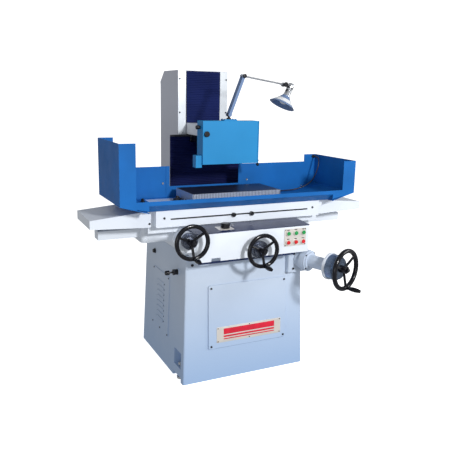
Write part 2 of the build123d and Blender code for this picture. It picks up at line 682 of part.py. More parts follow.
cable_points = [Vector(*point) for point in CABLE_ROUTE]
radii = []
for before, here, after in zip(cable_points, cable_points[1:], cable_points[2:]):
    turn = (here - before).get_angle(after - here)
    radii.append(0.45 * min((here - before).length, (after - here).length) / tan(radians(turn / 2)))
print("cable bend radii", [round(r) for r in radii])
with BuildPart() as chuck_cable:
    with BuildLine() as cable_path:
        FilletPolyline(*cable_points, radius=radii)
    with BuildSketch(Plane(origin=cable_points[0], z_dir=cable_points[1] - cable_points[0])):
        Circle(CABLE_R)
    sweep()
cable_length = sum(edge.length for edge in cable_path.edges())
print("cable length", round(cable_length), "volume", round(chuck_cable.part.volume),
      "section x length", round(pi * CABLE_R**2 * cable_length))
save(chuck_cable, "chuck_cable")

# ---------------------------------------------------------------- wheelhead
with BuildPart() as head_casting:
    with BuildSketch(Plane.XZ.offset(-HEAD_FRONT)):
        with BuildLine():
            Polyline((-HEAD_X, HEAD_Z[0] + 22), (-HEAD_X + 22, HEAD_Z[0]), (HEAD_X - 22, HEAD_Z[0]),
                     (HEAD_X, HEAD_Z[0] + 22), (HEAD_X, HEAD_Z[1]), (-HEAD_X, HEAD_Z[1]), close=True)
        make_face()
    extrude(amount=HEAD_FRONT - NECK_Y)
    # slimmer neck and quill behind, clear of the splash guard's back
    block((-HEAD_X, HEAD_X), (NECK_Y, COLUMN_Y[0] - 8), (NECK_Z, HEAD_Z[1]))
    rod((0, NECK_Y - 5, SPINDLE_Z), (0, 1, 0), QUILL_R, COLUMN_Y[0] - NECK_Y)
    # slide in the column's channel
    block((-CHANNEL_X + WAY_GAP, CHANNEL_X - WAY_GAP), (COLUMN_Y[0] - 20, CHANNEL_Y - 4),
          (HEAD_Z[0] - 60, HEAD_Z[1] - 10))
    rod((0, HEAD_FRONT - 1, SPINDLE_Z), (0, 1, 0), SPINDLE_R + 0.05, 300, mode=Mode.SUBTRACT)
    rod((*LIFT_SCREW, HEAD_Z[0] - 70), (0, 0, 1), 16.1, 300, mode=Mode.SUBTRACT)
save(head_casting, "head_casting")

with BuildPart() as wheel_guard:
    block((-GUARD_HALF, GUARD_HALF), (WHEEL_GUARD_Y[0] + 4, WHEEL_GUARD_Y[1]), WHEEL_GUARD_Z)
    block((-GUARD_HALF + 4, GUARD_HALF - 4), (WHEEL_GUARD_Y[0], WHEEL_GUARD_Y[1] - 6),
          (WHEEL_GUARD_Z[0] - 1, WHEEL_GUARD_Z[1] - 4), mode=Mode.SUBTRACT)
    rod((0, -170, SPINDLE_Z), (0, 1, 0), 40, 20, mode=Mode.SUBTRACT)
    # coolant box on the left and the lamp's foot on top
    block((-GUARD_HALF - 37, -GUARD_HALF), (-232, -186), (1187, 1256))
    with BuildSketch(Plane.XY.offset(WHEEL_GUARD_Z[1])):
        with Locations(LAMP_FOOT):
            RectangleRounded(86, 56, 10)
    extrude(amount=8)
save(wheel_guard, "wheel_guard")

with BuildPart() as guard_door:
    block((-GUARD_HALF, GUARD_HALF), WHEEL_GUARD_Y[:1] + (WHEEL_GUARD_Y[0] + 3.8,), WHEEL_GUARD_Z)
    # hinge barrel down the right edge
    rod((GUARD_HALF, WHEEL_GUARD_Y[0], WHEEL_GUARD_Z[0]), (0, 0, 1), 3.2, WHEEL_GUARD_Z[1] - WHEEL_GUARD_Z[0])
    rod((-155, WHEEL_GUARD_Y[0] - 1, 1377), (0, 1, 0), 5.1, 10, mode=Mode.SUBTRACT)
save(guard_door, "guard_door")

with BuildPart() as door_knob:
    rod((-155, WHEEL_GUARD_Y[0] - 0.2, 1377), (0, -1, 0), 16, 12)
    fillet(door_knob.edges().sort_by(Axis.Y)[0], 3)
    rod((-155, WHEEL_GUARD_Y[0] - 1, 1377), (0, 1, 0), 5, 9)
save(door_knob, "door_knob")

with BuildPart() as spindle:
    rod((0, -196, SPINDLE_Z), (0, 1, 0), SPINDLE_R, 260)
    rod((0, -196, SPINDLE_Z), (0, -1, 0), 42, 6)
    rod((0, -202, SPINDLE_Z), (0, -1, 0), WHEEL_BORE - 0.05, WHEEL_THICK)
    rod((0, -202 - WHEEL_THICK, SPINDLE_Z), (0, -1, 0), 34, 6)
    rod((0, -227, SPINDLE_Z), (0, -1, 0), 13, 9)
save(spindle, "spindle")

with BuildPart() as grinding_wheel:
    rod((0, -202.02, SPINDLE_Z), (0, -1, 0), WHEEL_R, WHEEL_THICK - 0.04)
    rod((0, -200, SPINDLE_Z), (0, -1, 0), WHEEL_BORE, 30, mode=Mode.SUBTRACT)
save(grinding_wheel, "grinding_wheel")

COCK = (176, -225)
with BuildPart() as coolant_cock:
    rod((COCK[0] + 2, COCK[1], 1218), (1, 0, 0), 5, 14)
    rod((COCK[0] + 12, COCK[1], 1218), (0, 0, -1), 3.5, 22)
    with Locations((COCK[0] + 12, COCK[1], 1194)):
        Sphere(9.5)
save(coolant_cock, "coolant_cock")

CURTAIN_X = 250
CURTAIN_Y = (92, 98)
CURTAIN_Z = (762, 1352)
with BuildPart() as lower_curtain:
    block((-CURTAIN_X, CURTAIN_X), CURTAIN_Y, CURTAIN_Z)
    for half, floor in ((HEAD_X + 4, NECK_Z - 6), (QUILL_R + 6, SPINDLE_Z - QUILL_R - 8)):
        block((-half, half), (CURTAIN_Y[0] - 1, CURTAIN_Y[1] + 1), (floor, 1400), mode=Mode.SUBTRACT)
save(lower_curtain, "lower_curtain")

with BuildPart() as upper_bellows:
    block((-114, 114), (COLUMN_Y[0] - 5, COLUMN_Y[0] - 0.6), (HEAD_Z[1] + 0.6, COLUMN_TOP - 4))
save(upper_bellows, "upper_bellows")

# ---------------------------------------------------------------- work lamp
lamp_y = LAMP_FOOT[1]
foot_top = WHEEL_GUARD_Z[1]
ROOT_Z = foot_top + 34
with BuildPart() as lamp_base:
    rod((*LAMP_FOOT, foot_top + 8), (0, 0, 1), 13, 8)
    rod((*LAMP_FOOT, foot_top + 16), (0, 0, 1), 8, 18)
    rod((LAMP_FOOT[0], lamp_y + 14, ROOT_Z), (0, -1, 0), 9, 28)
save(lamp_base, "lamp_base")

arm_run = Vector(LAMP_ELBOW[0] - LAMP_FOOT[0], 0, LAMP_ELBOW[1] - ROOT_Z)
with BuildPart() as lamp_lower_arm:
    for gap in (-1, 1):
        shift = 16.4 * gap
        with BuildSketch(Plane(origin=(LAMP_FOOT[0], lamp_y + shift, ROOT_Z), x_dir=(0, 1, 0), z_dir=arm_run)):
            Rectangle(4, 16)
        extrude(amount=arm_run.length)
        for x, z in ((LAMP_FOOT[0], ROOT_Z), LAMP_ELBOW):
            with BuildSketch(Plane(origin=(x, lamp_y + shift - 2, z), z_dir=(0, 1, 0))):
                Circle(11)
            extrude(amount=4)
    middle = Vector(LAMP_FOOT[0], lamp_y, ROOT_Z) + arm_run * 0.5
    with BuildSketch(Plane(origin=middle, x_dir=(0, 1, 0), z_dir=arm_run)):
        Rectangle(34, 12)
    extrude(amount=60, both=True)
save(lamp_lower_arm, "lamp_lower_arm")

upper_run = Vector(LAMP_KNUCKLE[0] - LAMP_ELBOW[0], 0, LAMP_KNUCKLE[1] - LAMP_ELBOW[1])
with BuildPart() as lamp_upper_arm:
    rod((LAMP_ELBOW[0], lamp_y + 13.6, LAMP_ELBOW[1]), (0, -1, 0), 10, 27.2)
    rod((LAMP_ELBOW[0], lamp_y, LAMP_ELBOW[1]), upper_run, 5, upper_run.length - 12)
    with BuildSketch(Plane(origin=(LAMP_KNUCKLE[0], lamp_y + 12, LAMP_KNUCKLE[1]), z_dir=(0, 1, 0))):
        Circle(13)
    extrude(amount=6)
    rod((LAMP_KNUCKLE[0] - 16, lamp_y, LAMP_KNUCKLE[1] + 2), (0, 1, 0), 6, 18)
save(lamp_upper_arm, "lamp_upper_arm")

shade_axis = Vector(-sin(radians(LAMP_TILT)), 0, -cos(radians(LAMP_TILT)))
shade_side = Vector(cos(radians(LAMP_TILT)), 0, -sin(radians(LAMP_TILT)))
knuckle = Vector(LAMP_KNUCKLE[0], lamp_y, LAMP_KNUCKLE[1])
socket_top = knuckle + shade_side * 42 - shade_axis * 28
SHADE_PROFILE = ((0, 0), (18, 0), (20, 6), (20, 74), (24, 80), (80, 138), (80, 142),
                 (76, 142), (76, 140), (21, 84), (0, 84))
with BuildPart() as lamp_shade:
    with BuildSketch(Plane(origin=socket_top, x_dir=shade_side, z_dir=(0, 1, 0))):
        with BuildLine():
            Polyline(*[(x, y) for x, y in SHADE_PROFILE], close=True)
        make_face()
    revolve(axis=Axis(socket_top, shade_axis))
    with BuildSketch(Plane(origin=knuckle - Vector(0, 11.6, 0), z_dir=(0, 1, 0))):
        Circle(9.8)
    extrude(amount=23.2)
    with BuildSketch(Plane(origin=knuckle, z_dir=shade_side)):
        Circle(6)
    extrude(amount=30)
save(lamp_shade, "lamp_shade")
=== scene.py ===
import math

import bpy
import numpy as np
from mathutils import Matrix, Vector


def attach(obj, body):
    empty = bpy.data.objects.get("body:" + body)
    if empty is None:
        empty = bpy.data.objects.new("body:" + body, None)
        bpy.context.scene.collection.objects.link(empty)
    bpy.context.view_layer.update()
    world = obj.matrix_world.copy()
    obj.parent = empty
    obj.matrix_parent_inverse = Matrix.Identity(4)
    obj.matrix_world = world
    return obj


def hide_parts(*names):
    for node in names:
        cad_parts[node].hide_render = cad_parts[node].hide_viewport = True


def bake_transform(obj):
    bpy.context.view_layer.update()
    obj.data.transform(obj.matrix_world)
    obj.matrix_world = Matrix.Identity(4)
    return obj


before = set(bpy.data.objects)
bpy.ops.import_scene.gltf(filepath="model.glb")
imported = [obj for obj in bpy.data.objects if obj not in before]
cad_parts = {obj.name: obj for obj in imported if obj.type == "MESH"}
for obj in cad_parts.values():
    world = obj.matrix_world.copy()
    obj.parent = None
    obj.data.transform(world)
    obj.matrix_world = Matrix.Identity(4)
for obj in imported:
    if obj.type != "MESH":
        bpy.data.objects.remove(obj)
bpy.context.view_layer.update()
print("frame loaded")

# camera at the operator's left, a little above the wheelhead
cameraSettings = {"place": (-1.4866, -3.2715, 1.5879), "yaw": 25.7, "pitch": 12.5, "roll": 1.1, "lens": 46.48}


def aimCamera(s):
    # right, up and back directions from the yaw, the downward pitch and the roll
    yaw, pitch, roll = (math.radians(s[k]) for k in ("yaw", "pitch", "roll"))
    ahead = Vector((math.sin(yaw) * math.cos(pitch), math.cos(yaw) * math.cos(pitch), -math.sin(pitch)))
    level = Vector((math.cos(yaw), -math.sin(yaw), 0))
    above = level.cross(ahead)
    right = level * math.cos(roll) + above * math.sin(roll)
    up = above * math.cos(roll) - level * math.sin(roll)
    turn = Matrix((right, up, -ahead)).transposed()
    data = bpy.data.cameras.new("viewCamera")
    data.lens, data.sensor_width, data.clip_end = s["lens"], 36, 40
    camera = bpy.data.objects.new("viewCamera", data)
    camera.matrix_world = Matrix.Translation(s["place"]) @ turn.to_4x4()
    bpy.context.collection.objects.link(camera)
    bpy.context.scene.camera = camera


aimCamera(cameraSettings)


# node helpers for the finishes
def startMaterial(name):
    made = bpy.data.materials.new(name)
    made.use_nodes = True
    tree = made.node_tree
    return made, tree, tree.nodes["Principled BSDF"]


def addNode(tree, kind, inputs=None, **settings):
    node = tree.nodes.new(kind)
    for key, value in settings.items():
        setattr(node, key, value)
    for key, value in (inputs or {}).items():
        socket = node.inputs[key]
        if isinstance(value, bpy.types.NodeSocket):
            tree.links.new(value, socket)
        else:
            socket.default_value = value
    return node


def objectPoint(tree, scale=(1, 1, 1), place=(0, 0, 0), turn=(0, 0, 0)):
    # object coordinates moved so that place is the origin, then turned and stretched
    coordinate = addNode(tree, "ShaderNodeTexCoord").outputs["Object"]
    shifted = addNode(tree, "ShaderNodeVectorMath", {0: coordinate, 1: place}, operation="SUBTRACT").outputs[0]
    return addNode(tree, "ShaderNodeMapping", {"Vector": shifted, "Rotation": turn, "Scale": scale}).outputs[0]


def noiseOf(tree, point, scale, detail=3.0, rough=0.5):
    return addNode(tree, "ShaderNodeTexNoise",
                   {"Vector": point, "Scale": scale, "Detail": detail, "Roughness": rough}).outputs[0]


def spread(tree, value, low, high, start=0.3, end=0.7):
    # value between start and end becomes low to high
    return addNode(tree, "ShaderNodeMapRange", {"Value": value, "From Min": start, "From Max": end,
                                                "To Min": low, "To Max": high}).outputs[0]


def mixColor(tree, share, first, second):
    node = addNode(tree, "ShaderNodeMix", data_type="RGBA")
    for index, value in ((0, share), (6, first), (7, second)):
        if isinstance(value, bpy.types.NodeSocket):
            tree.links.new(value, node.inputs[index])
        else:
            node.inputs[index].default_value = value if index == 0 else (*value, 1) if len(value) == 3 else value
    return node.outputs[2]


def mathOf(tree, operation, *values):
    return addNode(tree, "ShaderNodeMath", dict(enumerate(values)), operation=operation).outputs[0]


def bumpOf(tree, height, strength, distance, normal=None):
    inputs = {"Height": height, "Strength": strength, "Distance": distance}
    if normal is not None:
        inputs["Normal"] = normal
    return addNode(tree, "ShaderNodeBump", inputs).outputs[0]


def setLook(tree, shader, color=None, rough=None, normal=None, **fixed):
    for key, value in (("Base Color", color), ("Roughness", rough), ("Normal", normal)):
        if isinstance(value, bpy.types.NodeSocket):
            tree.links.new(value, shader.inputs[key])
        elif value is not None:
            shader.inputs[key].default_value = (*value, 1) if key == "Base Color" else value
    for key, value in fixed.items():
        shader.inputs[key.replace("_", " ")].default_value = value


def shade(color, factor):
    return tuple(min(1, c * factor) for c in color)


def insideBox(tree, point, low, high):
    # one where the point is within the box, nothing outside it
    parts = addNode(tree, "ShaderNodeSeparateXYZ", {0: point}).outputs
    within = 1.0
    for part, start, end in zip(parts, low, high):
        within = mathOf(tree, "MULTIPLY", within, mathOf(tree, "GREATER_THAN", part, start))
        within = mathOf(tree, "MULTIPLY", within, mathOf(tree, "LESS_THAN", part, end))
    return within


def enamel(name, s):
    # sprayed enamel: cloudy tone, fine orange peel, dull handling patches, a darker bluer bottom that is painted shade,
    # and near-black boxes that are painted shade in recesses and gaps
    made, tree, shader = startMaterial(name)
    point = objectPoint(tree)
    cloud = spread(tree, noiseOf(tree, point, s.get("cloud", 2.2), 4), 0, 1)
    tone = mixColor(tree, cloud, shade(s["color"], 1 - s.get("vary", 0.05)), shade(s["color"], 1 + s.get("vary", 0.05)))
    specks = spread(tree, noiseOf(tree, point, 140, 2), 0, s.get("speck", 0.05), 0.62, 0.75)
    tone = mixColor(tree, specks, tone, shade(s["color"], 0.55))
    # painted shade: below the given height the paint turns darker and bluer towards the bottom
    if "foot" in s:
        height = addNode(tree, "ShaderNodeSeparateXYZ", {0: point}).outputs[2]
        low = spread(tree, height, 1, 0, 0, s["footHeight"])
        tone = mixColor(tree, low, tone, s["foot"])
    # painted shade: inside the given box the paint turns near black, as shade in a recess or gap
    if "slot" in s:
        tone = mixColor(tree, insideBox(tree, point, *s["slot"]), tone, (0.002, 0.003, 0.009))
    rough = spread(tree, noiseOf(tree, point, 9, 5), s["rough"] - 0.05, s["rough"] + 0.07)
    peel = noiseOf(tree, point, s.get("peel", 420), 1.5)
    cast = noiseOf(tree, point, s.get("cast", 26), 3)
    normal = bumpOf(tree, peel, 0.22, 0.0004, bumpOf(tree, cast, s.get("wave", 0.1), 0.002))
    setLook(tree, shader, tone, rough, normal, Coat_Weight=s.get("coat", 0.12), Coat_Roughness=0.2, IOR=1.45,
            Specular_IOR_Level=s.get("mirror", 0.4))
    return made


def steel(name, s):
    # machined metal: fine tool lines stretched along one axis, with darker oily clouds
    made, tree, shader = startMaterial(name)
    lines = noiseOf(tree, objectPoint(tree, s["grain"]), s.get("lineScale", 30), 3)
    cloud = spread(tree, noiseOf(tree, objectPoint(tree), s.get("cloud", 7), 4), 0, 1)
    tone = mixColor(tree, cloud, shade(s["color"], 0.86), s["color"])
    tone = mixColor(tree, spread(tree, lines, 0, 0.4), tone, shade(s["color"], 0.8))
    rough = spread(tree, lines, s["rough"] - 0.06, s["rough"] + 0.1)
    setLook(tree, shader, tone, rough, bumpOf(tree, lines, s.get("bump", 0.12), 0.0003), Metallic=s.get("metal", 1.0))
    return made


def gloss(name, s):
    # moulded or polished surface: faint clouding, hair scratches and a soft roll in the reflections
    made, tree, shader = startMaterial(name)
    point = objectPoint(tree)
    cloud = spread(tree, noiseOf(tree, point, 18, 4), 0, 1)
    tone = mixColor(tree, cloud, shade(s["color"], 0.8), shade(s["color"], 1.15))
    scratch = noiseOf(tree, objectPoint(tree, (1, 14, 3), turn=(0.4, 0.7, 0.2)), 120, 2)
    rough = spread(tree, scratch, s["rough"], s["rough"] + 0.09, 0.45, 0.7)
    normal = bumpOf(tree, noiseOf(tree, point, s.get("roll", 60), 2), s.get("bump", 0.08), 0.001)
    setLook(tree, shader, tone, rough, normal, Coat_Weight=s.get("coat", 0.3), Coat_Roughness=0.1, IOR=1.5,
            Specular_IOR_Level=s.get("mirror", 0.5))
    return made


def rubberCloth(name, s):
    # coated cloth: crossing threads under a matt skin, paler along worn folds
    made, tree, shader = startMaterial(name)
    point = objectPoint(tree)
    across = addNode(tree, "ShaderNodeTexWave", {"Vector": point, "Scale": 210, "Distortion": 0.4},
                     bands_direction="X").outputs[1]
    up = addNode(tree, "ShaderNodeTexWave", {"Vector": point, "Scale": 210, "Distortion": 0.4},
                 bands_direction="Z").outputs[1]
    weave = mathOf(tree, "MAXIMUM", across, up)
    cloud = spread(tree, noiseOf(tree, point, 5, 5), 0, 1)
    tone = mixColor(tree, cloud, s["color"], s["worn"])
    rough = spread(tree, noiseOf(tree, point, 20, 3), s["rough"] - 0.06, s["rough"] + 0.1)
    setLook(tree, shader, tone, rough, bumpOf(tree, weave, 0.25, 0.0003), IOR=1.4, Specular_IOR_Level=0.22)
    return made


def graduated(name, s):
    # satin metal ring with dark divisions: lines where the angle about the shaft comes round to a whole division
    made, tree, shader = startMaterial(name)
    point = objectPoint(tree, place=s["centre"], turn=(0, 0, s["turn"]))
    parts = addNode(tree, "ShaderNodeSeparateXYZ", {0: point}).outputs
    angle = mathOf(tree, "DIVIDE", mathOf(tree, "ARCTAN2", parts[2], parts[0]), 2 * math.pi)
    fine = mathOf(tree, "PINGPONG", mathOf(tree, "MULTIPLY", angle, s["lines"]), 0.5)
    coarse = mathOf(tree, "PINGPONG", mathOf(tree, "MULTIPLY", angle, s["lines"] / 5), 0.5)
    fineMark = mathOf(tree, "MULTIPLY", mathOf(tree, "LESS_THAN", fine, 0.09),
                      mathOf(tree, "GREATER_THAN", mathOf(tree, "MULTIPLY", parts[1], -1), s["fineFrom"]))
    coarseMark = mathOf(tree, "MULTIPLY", mathOf(tree, "LESS_THAN", coarse, 0.028),
                        mathOf(tree, "GREATER_THAN", mathOf(tree, "MULTIPLY", parts[1], -1), s["coarseFrom"]))
    mark = mathOf(tree, "MAXIMUM", fineMark, coarseMark)
    grain = noiseOf(tree, objectPoint(tree, (40, 1, 40)), 24, 3)
    tone = mixColor(tree, spread(tree, grain, 0, 1), shade(s["color"], 0.85), s["color"])
    tone = mixColor(tree, mark, tone, s["mark"])
    rough = spread(tree, grain, 0.24, 0.38)
    setLook(tree, shader, tone, rough, bumpOf(tree, grain, 0.08, 0.0002), Metallic=0.85)
    return made


def poleFace(name, s):
    # ground chuck: near-black upper face, which is painted reflection of dark surroundings on the ground steel, with
    # paler separator lines, and pale edge faces with dark upright pole lines
    made, tree, shader = startMaterial(name)
    point = objectPoint(tree)
    parts = addNode(tree, "ShaderNodeSeparateXYZ", {0: point}).outputs
    step = mathOf(tree, "PINGPONG", mathOf(tree, "DIVIDE", parts[0], s["pitch"]), 0.5)
    line = mathOf(tree, "LESS_THAN", step, s["width"])
    inside = mathOf(tree, "LESS_THAN", mathOf(tree, "ABSOLUTE", mathOf(tree, "ADD", parts[1], 0.218)), 0.118)
    onTop = mathOf(tree, "GREATER_THAN", parts[2], s["height"])
    mark = mathOf(tree, "MULTIPLY", mathOf(tree, "MULTIPLY", line, inside), onTop)
    grain = noiseOf(tree, objectPoint(tree, (1, 45, 20)), 30, 3)
    # painted reflection: the upper face's tone is near black while the same steel's edge faces stay pale
    topLinesAndReflection = mixColor(tree, spread(tree, grain, 0, 1), shade(s["color"], 0.75), s["color"])
    topLinesAndReflection = mixColor(tree, mark, topLinesAndReflection, s["line"])
    half = mathOf(tree, "PINGPONG", mathOf(tree, "DIVIDE", parts[0], s["pitch"] / 2), 0.5)
    finePole = mathOf(tree, "LESS_THAN", half, 0.17)
    ladder = mathOf(tree, "MULTIPLY", finePole, mathOf(tree, "GREATER_THAN", parts[2], s["ladderFrom"]))
    side = mixColor(tree, spread(tree, grain, 0, 1), shade(s["side"], 0.8), s["side"])
    side = mixColor(tree, ladder, side, s["pole"])
    tone = mixColor(tree, onTop, side, topLinesAndReflection)
    setLook(tree, shader, tone, spread(tree, grain, 0.3, 0.45), bumpOf(tree, grain, 0.1, 0.0002), Metallic=0.35)
    return made


def abrasive(name, s):
    # bonded grit: cell pattern at grain size, mottled tone and deep pores
    made, tree, shader = startMaterial(name)
    point = objectPoint(tree)
    grit = addNode(tree, "ShaderNodeTexVoronoi", {"Vector": point, "Scale": 900}).outputs[0]
    tone = mixColor(tree, spread(tree, noiseOf(tree, point, 300, 4), 0, 1), shade(s["color"], 0.8), s["color"])
    setLook(tree, shader, tone, 0.9, bumpOf(tree, grit, 0.5, 0.0008))
    return made


finishes = {
    # the base enamel's darker bluer bottom colour is painted shade
    "machineEnamel": enamel("machineEnamel", {"color": (0.52, 0.60, 0.72), "rough": 0.4, "foot": (0.33, 0.47, 0.70),
                                              "footHeight": 0.6}),
    "tableEnamel": enamel("tableEnamel", {"color": (0.74, 0.79, 0.86), "rough": 0.36,
                                          # near-black box along the table front: painted shade in the T-groove
                                          "slot": ((-0.4335, -0.4116, 0.9365), (0.4335, -0.4, 0.9455))}),
    "columnEnamel": enamel("columnEnamel", {"color": (0.54, 0.56, 0.63), "rough": 0.42}),
    "guardBlue": enamel("guardBlue", {"color": (0.009, 0.130, 0.43), "rough": 0.5, "coat": 0.03, "vary": 0.16,
                                      "cloud": 3.4, "speck": 0.02, "mirror": 0.16}),
    "coverBlue": enamel("coverBlue", {"color": (0.022, 0.25, 0.55), "rough": 0.46, "coat": 0.05, "vary": 0.09,
                                      "speck": 0.02, "mirror": 0.2}),
    "deckBlack": enamel("deckBlack", {"color": (0.012, 0.022, 0.075), "rough": 0.3, "vary": 0.25, "cloud": 5,
                                      "mirror": 0.3}),
    "headEnamel": enamel("headEnamel", {"color": (0.74, 0.78, 0.84), "rough": 0.36,
                                        # near-black box on the neck's left side: painted shade in the gap behind the
                                        # curtain opening
                                        "slot": ((-0.2, -0.02, 1.1), (0.0, 0.2, 1.352))}),
    "lampBlue": enamel("lampBlue", {"color": (0.15, 0.23, 0.40), "rough": 0.3, "peel": 700}),
    "handwheelBlack": gloss("handwheelBlack", {"color": (0.003, 0.003, 0.006), "rough": 0.16, "coat": 0.12,
                                               "mirror": 0.35}),
    "knobBlack": gloss("knobBlack", {"color": (0.006, 0.006, 0.009), "rough": 0.3, "coat": 0.1, "mirror": 0.35}),
    "buttonGreen": gloss("buttonGreen", {"color": (0.01, 0.30, 0.07), "rough": 0.2}),
    "buttonRed": gloss("buttonRed", {"color": (0.62, 0.015, 0.02), "rough": 0.2}),
    "barRed": gloss("barRed", {"color": (0.66, 0.008, 0.035), "rough": 0.32}),
    "cableSheath": gloss("cableSheath", {"color": (0.012, 0.018, 0.045), "rough": 0.38, "coat": 0.1}),
    "waySteel": steel("waySteel", {"color": (0.70, 0.74, 0.78), "rough": 0.32, "grain": (40, 40, 1), "metal": 0.55}),
    "turnedSteel": steel("turnedSteel", {"color": (0.62, 0.64, 0.67), "rough": 0.26, "grain": (6, 30, 6)}),
    "brightTop": steel("brightTop", {"color": (0.90, 0.93, 0.96), "rough": 0.34, "grain": (1, 40, 40), "metal": 0.25}),
    "screwDark": steel("screwDark", {"color": (0.05, 0.05, 0.06), "rough": 0.4, "grain": (5, 5, 5), "metal": 0.7}),
    "plateMetal": steel("plateMetal", {"color": (0.80, 0.76, 0.71), "rough": 0.4, "grain": (1, 40, 30), "metal": 0.35}),
    "bellowsCloth": rubberCloth("bellowsCloth", {"color": (0.004, 0.010, 0.070), "worn": (0.008, 0.017, 0.105),
                                                 "rough": 0.6}),
    "curtainCloth": rubberCloth("curtainCloth", {"color": (0.0015, 0.004, 0.045), "worn": (0.004, 0.010, 0.080),
                                                 "rough": 0.55}),
    # the chuck's near-black colour is painted reflection on its upper face
    "chuckPolesWithReflection": poleFace("chuckPolesWithReflection", {"color": (0.008, 0.013, 0.045), "line": (0.05, 0.07, 0.13), "pitch": 0.019,
                                          "width": 0.10, "height": 1.0555, "ladderFrom": 1.014,
                                          "side": (0.52, 0.58, 0.68), "pole": (0.03, 0.045, 0.11)}),
    "wheelGrit": abrasive("wheelGrit", {"color": (0.78, 0.77, 0.74)}),
    "liftDial": graduated("liftDial", {"color": (0.26, 0.34, 0.48), "centre": (0.45298, -0.78596, 0.664),
                                       "turn": math.radians(-20), "lines": 100, "fineFrom": -0.062,
                                       "coarseFrom": -0.068, "mark": (0.01, 0.01, 0.012)}),
    "traverseDial": graduated("traverseDial", {"color": (0.045, 0.06, 0.11), "centre": (-0.394, -0.626, 0.858),
                                               "turn": 0, "lines": 80, "fineFrom": -0.036, "coarseFrom": -0.042,
                                               "mark": (0.45, 0.48, 0.52)}),
    "crossDial": graduated("crossDial", {"color": (0.045, 0.06, 0.11), "centre": (0.02, -0.626, 0.774),
                                         "turn": 0, "lines": 100, "fineFrom": -0.036, "coarseFrom": -0.042,
                                         "mark": (0.45, 0.48, 0.52)}),
}

# which finish each part of the frame gets
finishOf = {
    "machineEnamel": ["base_casting", "access_panel", "side_cover", "lift_bracket", "hydraulic_tank"],
    "tableEnamel": ["table_casting", "apron_casting", "saddle_casting", "cylinder_arms", "end_cover_left",
                    "end_cover_right"],
    "headEnamel": ["head_casting"],
    "columnEnamel": ["column_casting", "column_cap"],
    "guardBlue": ["guard_left", "guard_right", "guard_tray", "guard_back_left", "guard_back_right"],
    "coverBlue": ["wheel_guard", "guard_door"],
    "deckBlack": ["deck_cover"],
    "lampBlue": ["lamp_lower_arm"],
    "handwheelBlack": ["lift_handwheel", "traverse_handwheel", "cross_handwheel", "lift_grip", "traverse_grip",
                       "cross_grip", "lubricator_plunger"],
    "knobBlack": ["speed_knob", "door_knob", "coolant_cock", "trip_dog_left", "trip_dog_right", "lamp_base"],
    "buttonGreen": [f"{m}_start_button" for m in ("spindle", "hydraulic", "coolant")],
    "buttonRed": [f"{m}_stop_button" for m in ("spindle", "hydraulic", "coolant")],
    "waySteel": ["way_strips"],
    "turnedSteel": ["levelling_screws", "piston_rod", "spindle", "lift_screw", "lamp_upper_arm"],
    "screwDark": ["base_screws", "cable_gland"],
    "plateMetal": ["control_plate"],
    "chuckPolesWithReflection": ["magnetic_chuck"],
    "wheelGrit": ["grinding_wheel"],
    "liftDial": ["lift_dial"],
    "traverseDial": ["traverse_dial"],
    "crossDial": ["cross_dial"],
}
for key, names in finishOf.items():
    for name in names:
        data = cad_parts[name].data
        data.materials.clear()
        data.materials.append(finishes[key])
print("finishes made")


# mesh helpers: each gives (points, faces), and a piece joins several
def axesFor(normal, across=None):
    normal = np.array(normal, float) / np.linalg.norm(normal)
    if across is None:
        across = (0, 0, 1) if abs(normal[2]) < 0.9 else (1, 0, 0)
    first = np.cross(across, normal)
    first /= np.linalg.norm(first)
    return first, np.cross(normal, first), normal


def gridFaces(rows, columns, wrap):
    # quads between neighbouring rows; the last column joins the first when wrap is true
    r, c = np.meshgrid(np.arange(rows - 1), np.arange(columns if wrap else columns - 1), indexing="ij")
    d = (c + 1) % columns
    return np.stack([r * columns + c, r * columns + d, (r + 1) * columns + d, (r + 1) * columns + c], -1).reshape(-1, 4)


def closeEnds(points, quads, rows, columns):
    # fans from a centre point close the first and the last row
    count = len(points)
    ring = np.arange(columns)
    after = (ring + 1) % columns
    last = (rows - 1) * columns
    middles = [points[:columns].mean(0), points[last:].mean(0)]
    lower = np.stack([after, ring, np.full(columns, count)], -1)
    upper = np.stack([last + ring, last + after, np.full(columns, count + 1)], -1)
    return np.vstack([points, middles]), [quads, lower, upper]


def turned(profile, origin, axis, segments=32):
    # (radius, height) pairs carried round an axis
    x, y, z = axesFor(axis)
    profile = np.array(profile, float)
    angle = np.linspace(0, 2 * np.pi, segments, endpoint=False)
    ring = np.cos(angle)[:, None] * x + np.sin(angle)[:, None] * y
    points = profile[:, 0, None, None] * ring + (profile[:, 1, None] * z)[:, None, :] + np.array(origin, float)
    return closeEnds(points.reshape(-1, 3), gridFaces(len(profile), segments, True), len(profile), segments)


def roundedOutline(width, height, corner, steps=6):
    # quarter circles at four corners joined by straight runs
    corner = min(corner, width / 2 - 1e-6, height / 2 - 1e-6)
    angle = np.linspace(0, np.pi / 2, steps)
    parts = []
    for k, (sx, sy) in enumerate(((1, 1), (-1, 1), (-1, -1), (1, -1))):
        turn = angle + k * np.pi / 2
        parts.append(np.stack([sx * (width / 2 - corner) + corner * np.cos(turn),
                               sy * (height / 2 - corner) + corner * np.sin(turn)], -1))
    return np.vstack(parts)


def plate(origin, normal, size, thick, corner=0.003, edge=0.0008, across=None):
    # rounded outline lifted along its normal, drawn in by a small round at the top edge
    x, y, z = axesFor(normal, across)
    turn = np.linspace(0, np.pi / 2, 4)
    levels = [(0, 0)] + [(edge * (1 - np.cos(t)), thick - edge + edge * np.sin(t)) for t in turn]
    rows = []
    for inset, lift in levels:
        outline = roundedOutline(size[0] - 2 * inset, size[1] - 2 * inset, max(corner - inset, 1e-5))
        rows.append(np.array(origin) + outline[:, :1] * x + outline[:, 1:] * y + lift * z)
    points = np.vstack(rows)
    return closeEnds(points, gridFaces(len(rows), len(rows[0]), True), len(rows), len(rows[0]))


